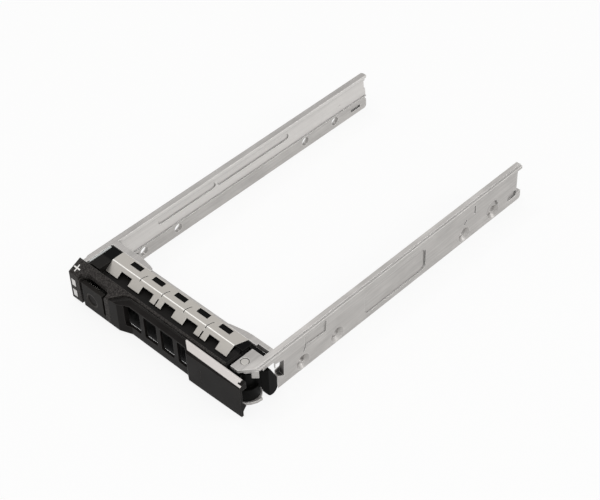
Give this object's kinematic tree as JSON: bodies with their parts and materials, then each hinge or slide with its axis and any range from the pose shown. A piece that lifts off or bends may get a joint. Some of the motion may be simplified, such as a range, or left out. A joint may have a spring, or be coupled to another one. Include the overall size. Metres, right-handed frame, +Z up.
{
  "type": "hot swap drive caddy",
  "caption": "Open carrier for a 2.5-inch server drive, with long side rails, a swinging vented handle with a cam claw, a push release and sprung shield flaps.",
  "frame": {"origin": "centre of the carrier's length and width, on the plane that its floor rests on", "axes": "+Y towards the open connector end, +Z up, +X to the right seen from the front"},
  "size_m": [0.0768, 0.1368, 0.0144],
  "materials": {
    "die_cast": "bare cast metal, faintly mottled",
    "bezel_plastic": "fine grained black",
    "spring_steel": "plain rolled sheet",
    "handle_plastic": "satin black",
    "strip_metal": "satin silver",
    "lever_metal": "black coated",
    "pin_steel": "bright",
    "spring_wire": "drawn wire",
    "button_plastic": "satin black",
    "clear_plastic": "clear moulded"
  },
  "bodies": {
    "carrier": {"carrier_frame": "die_cast", "front_bezel": "bezel_plastic", "emi_shield": "spring_steel", "pivot_pin": "pin_steel", "light_pipe_upper": "clear_plastic", "light_pipe_lower": "clear_plastic", "handle_spring": "spring_wire", "latch_spring": "spring_wire"},
    "handle": {"handle_grip": "handle_plastic", "handle_lever": "lever_metal", "handle_strip": "strip_metal"},
    "button": {"release_button": "button_plastic"},
    "latch": {"release_latch": "button_plastic"}
  },
  "joints": [
    {"name": "handle_hinge", "type": "hinge", "parent": "carrier", "child": "handle", "pos_m": [0.0323, -0.0591, 0], "axis": [0, 0, 1], "range_deg": [0, 45], "deforming": ["handle_spring"]},
    {"name": "button_press", "type": "slide", "parent": "carrier", "child": "button", "axis": [0, 1, 0], "range_m": [0, 0.0016], "stiffness_N_per_m": 300, "springref_m": -0.003},
    {"name": "latch_slide", "type": "slide", "parent": "carrier", "child": "latch", "axis": [-1, 0, 0], "range_m": [0, 0.00113], "deforming": ["latch_spring"]}
  ],
  "couplings": [
    {"joint": "latch_slide", "follows": "button_press", "ratio": 0.7}
  ]
}
